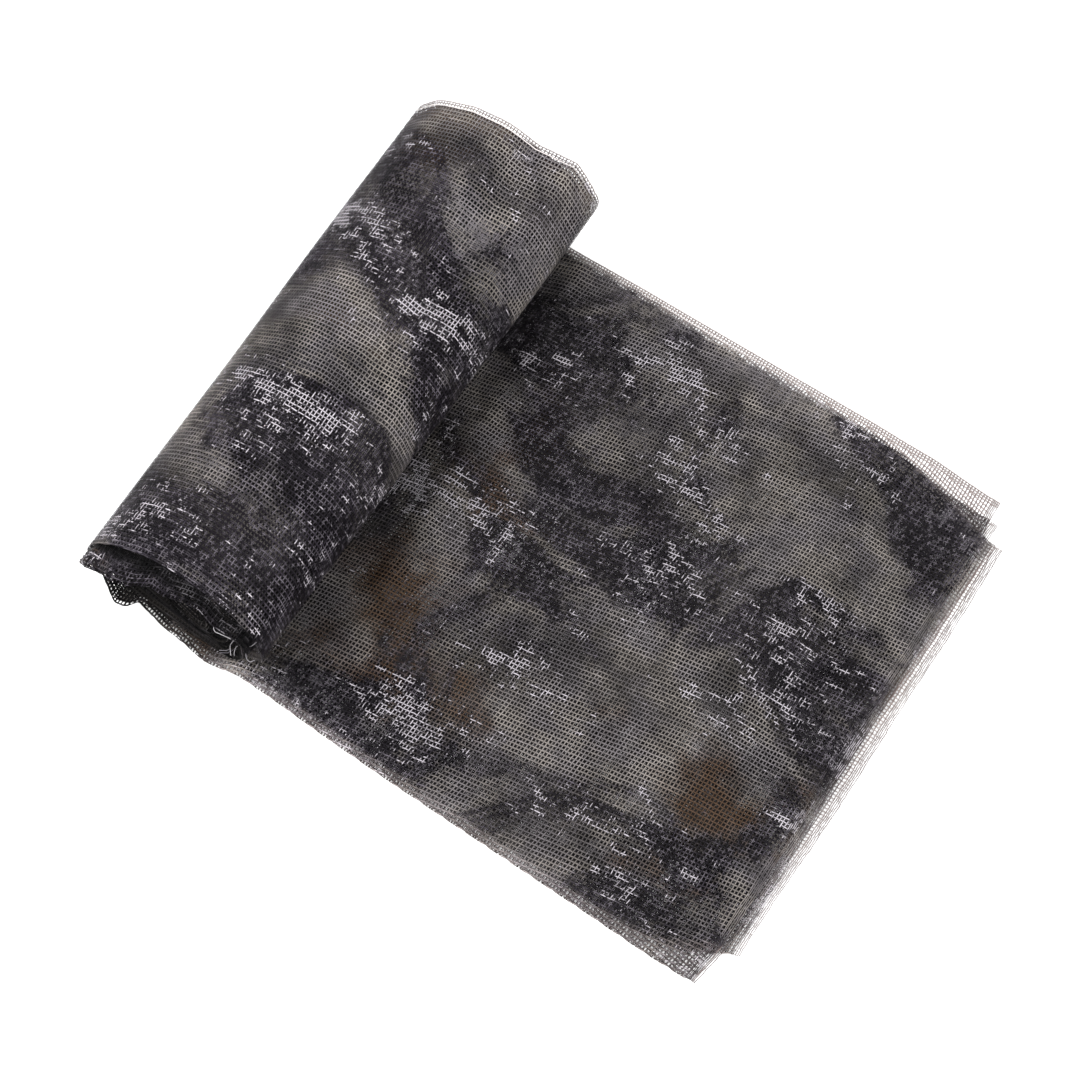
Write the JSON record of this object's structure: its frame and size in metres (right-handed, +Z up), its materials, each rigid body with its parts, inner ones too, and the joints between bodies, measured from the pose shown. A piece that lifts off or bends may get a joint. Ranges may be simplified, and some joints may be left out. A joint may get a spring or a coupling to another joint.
{
  "type": "rolled camouflage net",
  "caption": "Camouflage net of fine open mesh, folded lengthwise into flat layers and wound into a soft oval roll, with a loose end lying out flat.",
  "frame": {"origin": "centre of the bounding box on the surface that the net lies on", "axes": "+X from the roll to the loose end, +Y along the roll, +Z up"},
  "size_m": [0.4552, 0.376, 0.0913],
  "materials": {
    "net_mesh": null
  },
  "bodies": {
    "root": {"net": "net_mesh"}
  },
  "joints": []
}
